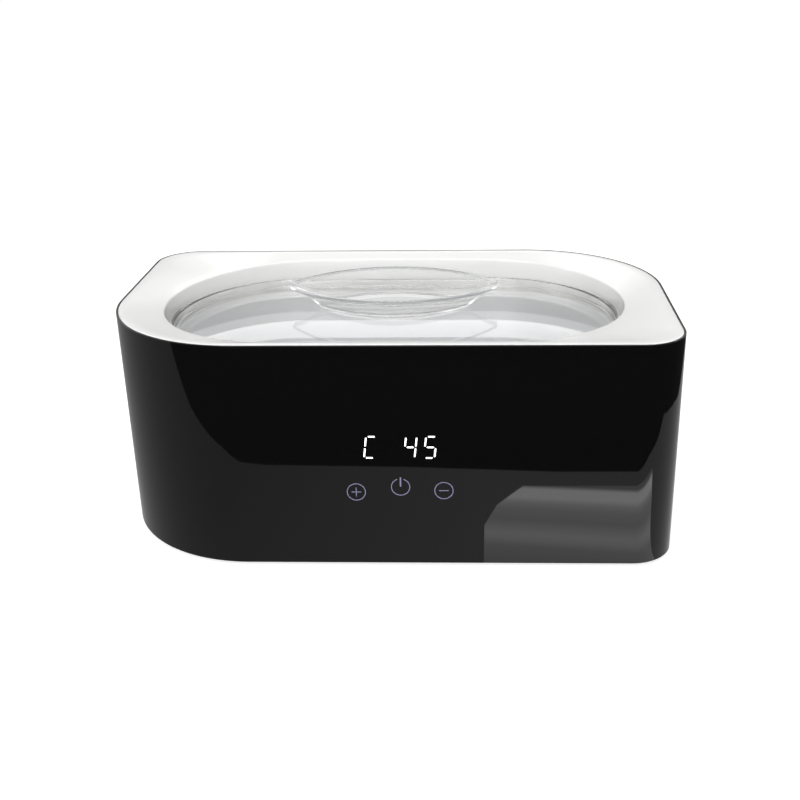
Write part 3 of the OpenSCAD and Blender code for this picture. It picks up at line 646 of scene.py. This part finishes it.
# Glass fibre leaves the nylon a flat greyish black beside the casing's gloss
nylon, nylon_surface = start_material("glass_filled_nylon", "#1B1C1F", roughness=0.45, ior=1.53)
add_grain(nylon, nylon_surface, size_mm=0.5, height_mm=0.03)
coat_solids(nylon, "mains_inlet")
coat_solids(brass, "inlet_pins")
coat_solids(zinc, "inlet_screws")


# ---- Lid pane
# Clear polycarbonate, moulded in one: a low dome over the tank, a valley round it and a
# raised rim that sits inside the well on the gasket.
LID_R = 75.6
PANE_EDGE = 72.6
PANE_TOP = 119
DOME = 9.5
DOME_R = (PANE_EDGE ** 2 + DOME ** 2) / (2 * DOME)
DOME_STEPS = 24
PANE_T = 2.5
RIM_TOP = 114
RIM_FOOT = 0.8


def dome_height(from_ridge, sphere=DOME_R):
    """Height of the dome at a distance from its ridge."""
    return PANE_TOP - DOME_R + math.sqrt(sphere ** 2 - from_ridge ** 2)


dome_radii = [PANE_EDGE * k / DOME_STEPS for k in range(DOME_STEPS)]
pane_section = [(radius, dome_height(radius)) for radius in dome_radii]
pane_section += soften(
    [pane_section[-1], (PANE_EDGE, dome_height(PANE_EDGE)), (PANE_EDGE, RIM_TOP),
     (LID_R, RIM_TOP), (LID_R, WELL_BOTTOM), (PANE_EDGE - RIM_FOOT, WELL_BOTTOM),
     (0, WELL_BOTTOM)],
    [0, 0.8, 1.4, 1.4, 0.6, 0, 0], steps=6)[1:-1]
pane_section += [(radius, dome_height(radius, DOME_R - PANE_T)) for radius in dome_radii[::-1]]
pane = draw_round("clear_lid_pane", pane_section, oval_place, OVAL_STEPS,
                  closed=False, crease=40)

# Water-clear, so the eye reads it by its reflections and its darker bent edges
clear_pc, clear_surface = start_material("clear_polycarbonate", "#FDFDFD", roughness=0.0, ior=1.58)
clear_surface.inputs["Transmission Weight"].default_value = 1
fit_piece(pane, clear_pc, "lid", "clear", "lid_pane")
pane.visible_shadow = False  # clear plastic passes nearly all the light


# ---- Lid handle
# The same clear polycarbonate, moulded as an eye-shaped dish with a flaring wall, and
# bonded to the crown of the pane. Fingers go under the flare.
HANDLE_A, HANDLE_B = 60, 34
HANDLE_T = 2.4
HANDLE_TOP = 133.2
HANDLE_FLOOR, HANDLE_BASE = 121.4, 119.2
HANDLE_STEPS = 240
TIP_CUT = 2
SIDE_R = ((HANDLE_A + TIP_CUT) ** 2 + HANDLE_B ** 2) / (2 * HANDLE_B)
SIDE_Y = SIDE_R - HANDLE_B
FLARE_R, FLARE_X = 28, 8.7
FLARE_REACH = FLARE_X + 0.8
FLARE_Z = HANDLE_TOP - math.sqrt((FLARE_R + HANDLE_T) ** 2 - FLARE_REACH ** 2)
FLARE_STEPS = 14
SEAT_INSETS = (HANDLE_B, 31, 27, 23, 19)
BOND_T = 0.03


def eye_place(turn, level):
    """A point of the eye-shaped outline at level = (inset, height)."""
    inset, height = level
    angle = 2 * math.pi * turn
    out = Vector((math.cos(angle), math.sin(angle)))
    reach = HANDLE_A - inset
    for centre_y in (-SIDE_Y, SIDE_Y):
        along = centre_y * out.y
        rest = along ** 2 - SIDE_Y ** 2 + (SIDE_R - inset) ** 2
        reach = min(reach, along + math.sqrt(rest))
    spot = reach * out
    if height is None:  # bonded to the pane's crown
        height = dome_height(abs(spot.y)) + BOND_T
    return Vector((spot.x, spot.y, height))


def flare(circle, low, high):
    """The wall from one height to another: (inset, height) along the flare's circle."""
    heights = [low + (high - low) * k / FLARE_STEPS for k in range(FLARE_STEPS + 1)]
    return [(math.sqrt(circle ** 2 - (z - FLARE_Z) ** 2) - FLARE_X, z) for z in heights]


outer_top = FLARE_Z + math.sqrt(FLARE_R ** 2 - FLARE_X ** 2)
outer_wall = flare(FLARE_R, HANDLE_BASE, outer_top)
inner_wall = flare(FLARE_R + HANDLE_T, HANDLE_TOP, HANDLE_FLOOR)
rim_bends, floor_bends = [0.8, 0.8, 0.5], [1.2, 0]
eye_section = [(inset, None) for inset in (*SEAT_INSETS, outer_wall[0][0])]
eye_section += soften(
    outer_wall + [(0, HANDLE_TOP)] + inner_wall + [(HANDLE_B, HANDLE_FLOOR)],
    [0] * FLARE_STEPS + rim_bends + [0] * (FLARE_STEPS - 1) + floor_bends, steps=4)
handle_skin = draw_round("clear_lid_handle", eye_section, eye_place, HANDLE_STEPS,
                         closed=False, crease=40)
fit_piece(handle_skin, clear_pc, "lid", "clear", "lid_handle")
handle_skin.visible_shadow = False
handle_skin.visible_glossy = False  # its mirror image would draw dark lines in the pane


# ---- Floor, light and reflections
# A pale table in a white room. Three cards just above it, which only reflections see, stand
# for its near part, the dark room beyond and a lamp's patch. A back wall and a ceiling, which
# reflections and clear plastic see, tone the lid.
TABLE_GLOW = 0.66
NEAR_Z, DARK_Z, LAMP_Z = 0.0002, 0.0004, 0.0006
NEAR_RISE = {"From Min": -0.12, "From Max": 0.05, "To Min": 0.36, "To Max": 0.6}
DARK_ROOM_GLOW = 0.045
LAMP_TILT = -0.1
LAMP_SPAN = {"From Min": -0.185, "From Max": -0.094}
LAMP_GLOW = 4.1
WALL_Y, WALL_GLOW = 1.5, 0.55
CEILING_Z, CEILING_GLOW = 2.4, 0.79
ROOM_LIGHT = 0.56
RAY_KINDS = ("camera", "diffuse", "glossy", "transmission", "volume_scatter", "shadow")


def rectangle(left, near, right, far):
    """The outline of a rectangle."""
    return [(left, near), (right, near), (right, far), (left, far)]


def stage_card(name, outline, level, material, upright=False):
    """A flat stage piece: its outline on X and Y at a height, or on X and Z at a depth."""
    skin = bmesh.new()
    skin.faces.new([skin.verts.new((x, level, y) if upright else (x, y, level))
                    for x, y in outline])
    mesh = bpy.data.meshes.new(name)
    skin.to_mesh(mesh)
    skin.free()
    mesh.materials.append(material)
    card = bpy.data.objects.new(name, mesh)
    bpy.context.scene.collection.objects.link(card)
    return card


def only_seen_in(card, *kinds):
    """Leaves a stage card in these kinds of ray alone."""
    for name in RAY_KINDS:
        setattr(card, "visible_" + name, name in kinds)


def glow(name, strength):
    """A plain white emitting material and its emission node."""
    material = bpy.data.materials.new(name)
    material.use_nodes = True
    material.node_tree.nodes.clear()
    light = add_node(material, "ShaderNodeEmission",
                     {"Color": linear("#FFFFFF"), "Strength": strength})
    add_node(material, "ShaderNodeOutputMaterial", (), {"Surface": light.outputs["Emission"]})
    return material, light


def object_axes(material):
    """The object's own X, Y and Z."""
    place = add_node(material, "ShaderNodeTexCoord")
    return add_node(material, "ShaderNodeSeparateXYZ", (),
                    {"Vector": place.outputs["Object"]}).outputs


def seen_directly(material):
    """1 for what the camera, a mirror or clear plastic shows, 0 for what lights the object."""
    path = add_node(material, "ShaderNodeLightPath").outputs
    mirrored = add_node(material, "ShaderNodeMath", (),
                        {0: path["Is Glossy Ray"], 1: path["Is Transmission Ray"]},
                        operation="MAXIMUM")
    seen = add_node(material, "ShaderNodeMath", (),
                    {0: path["Is Camera Ray"], 1: mirrored.outputs["Value"]},
                    operation="MAXIMUM")
    return seen.outputs["Value"]


# A dull white laminate: its own glow keeps it white to the eye, and shadows still fall on it
laminate, laminate_surface = start_material("white_laminate", "#D2D2D2", roughness=0.6)
laminate_surface.inputs["Specular IOR Level"].default_value = 0  # its sheen would show the cards
lift = add_node(laminate, "ShaderNodeMath", {1: TABLE_GLOW}, {0: seen_directly(laminate)},
                operation="MULTIPLY")
laminate_glow = add_node(laminate, "ShaderNodeEmission", {"Color": linear("#FFFFFF")},
                         {"Strength": lift.outputs["Value"]})
both = add_node(laminate, "ShaderNodeAddShader", (),
                {0: laminate_surface.outputs["BSDF"], 1: laminate_glow.outputs["Emission"]})
feed(laminate, both.outputs["Shader"], laminate.node_tree.nodes["Material Output"], "Surface")
stage_card("table_top", rectangle(-6, -4, 6, 12), 0, laminate)

# The near part of the table gets brighter to the right
near_table, near_light = glow("near_table", 1)
rise = add_node(near_table, "ShaderNodeMapRange", NEAR_RISE,
                {"Value": object_axes(near_table)["X"]})
feed(near_table, rise.outputs["Result"], near_light, "Strength")
near_card = stage_card("near_table_card", rectangle(-0.9, -1.6, 0.7, 0.9), NEAR_Z, near_table)

dark_card = stage_card("dark_room_card", [
    (-0.8, -1.6), (0.9, -1.6), (0.9, 0.7), (0.36, 0.7), (0.365, 0.06), (0.388, -0.02),
    (0.385, -0.09), (0.361, -0.167), (0.326, -0.175), (0.293, -0.18), (0.25, -0.195),
    (0.22, -0.203), (0.16, -0.199), (0.1, -0.199), (0, -0.207), (-0.09, -0.21),
    (-0.16, -0.231), (-0.31, -0.25), (-0.8, -0.38)], DARK_Z,
    glow("dark_room", DARK_ROOM_GLOW)[0])

# The lamp's patch has soft bands across its depth: (place from front to back, level)
lamp_bands = ((0, 0.3), (0.06, 1), (0.19, 1), (0.27, 0.68), (0.36, 0.52), (0.5, 0.45),
              (0.59, 0.57), (0.66, 0.66), (0.72, 0.6), (0.79, 0.43), (0.95, 0.34))
lamp_patch, patch_light = glow("lamp_patch", 1)
across = object_axes(lamp_patch)
tilted = add_node(lamp_patch, "ShaderNodeMath", {1: LAMP_TILT}, {0: across["X"], 2: across["Y"]},
                  operation="MULTIPLY_ADD")
depth = add_node(lamp_patch, "ShaderNodeMapRange", LAMP_SPAN, {"Value": tilted.outputs["Value"]})
bands = add_node(lamp_patch, "ShaderNodeValToRGB", (), {"Fac": depth.outputs["Result"]})
stops = bands.color_ramp.elements
while len(stops) < len(lamp_bands):
    stops.new(0.5)
for stop, (where, level) in zip(stops, lamp_bands):
    stop.position = where
    stop.color = (level, level, level, 1)
brightness = add_node(lamp_patch, "ShaderNodeMath", {1: LAMP_GLOW}, {0: bands.outputs["Color"]},
                      operation="MULTIPLY")
feed(lamp_patch, brightness.outputs["Value"], patch_light, "Strength")
lamp_card = stage_card("lamp_patch_card", [
    (0.145, -0.085), (0.051, -0.085), (0.052, -0.126), (0.06, -0.15), (0.077, -0.176),
    (0.165, -0.176), (0.2, -0.172), (0.226, -0.166), (0.197, -0.132), (0.169, -0.108)],
    LAMP_Z, lamp_patch)
for card in (near_card, dark_card, lamp_card):
    only_seen_in(card, "glossy")

back_wall = stage_card("back_wall_card", rectangle(-3, 0, 3, 0.72), WALL_Y,
                       glow("back_wall", WALL_GLOW)[0], upright=True)
ceiling = stage_card("ceiling_card", rectangle(-4, -4, 4, 4), CEILING_Z,
                     glow("ceiling", CEILING_GLOW)[0])
for card in (back_wall, ceiling):
    only_seen_in(card, "glossy", "transmission")

world = bpy.data.worlds.new("white_room")
bpy.context.scene.world = world
world.use_nodes = True
background = world.node_tree.nodes["Background"]
background.inputs["Color"].default_value = linear("#FFFFFF")
room_light = add_node(world, "ShaderNodeMapRange", {"To Min": ROOM_LIGHT, "To Max": 1},
                      {"Value": seen_directly(world)})
feed(world, room_light.outputs["Result"], background, "Strength")


def softbox(name, place, aim, width, height, power, mirrored=True):
    """A rectangular lamp aimed at a point. One that is not mirrored leaves no reflection."""
    data = bpy.data.lights.new(name, "AREA")
    data.shape = "RECTANGLE"
    data.size, data.size_y = width, height
    data.energy = power
    lamp = bpy.data.objects.new(name, data)
    lamp.location = place
    lamp.rotation_euler = (Vector(aim) - Vector(place)).to_track_quat("-Z", "Y").to_euler()
    lamp.visible_glossy = lamp.visible_transmission = mirrored
    bpy.context.scene.collection.objects.link(lamp)


# From behind for a rim of light, from above without a reflection for an even deck, and from
# the front and the left for the upright faces
softbox("back_softbox", (-0.03, 1.0, 0.775), (0, 0, 0.1), width=1.6, height=0.22, power=1.55)
softbox("overhead_softbox", (0, 0.1, 1.8), (0, 0, 0.1), width=1.2, height=1.0, power=4.5,
        mirrored=False)
softbox("front_softbox", (0.05, -1.2, 0.75), (0, 0, 0.1), width=1.2, height=0.5, power=10.5)
softbox("left_softbox", (-1.2, -0.4, 0.8), (0, 0, 0.08), width=0.6, height=0.9, power=3)

bpy.context.scene.view_settings.view_transform = "Standard"
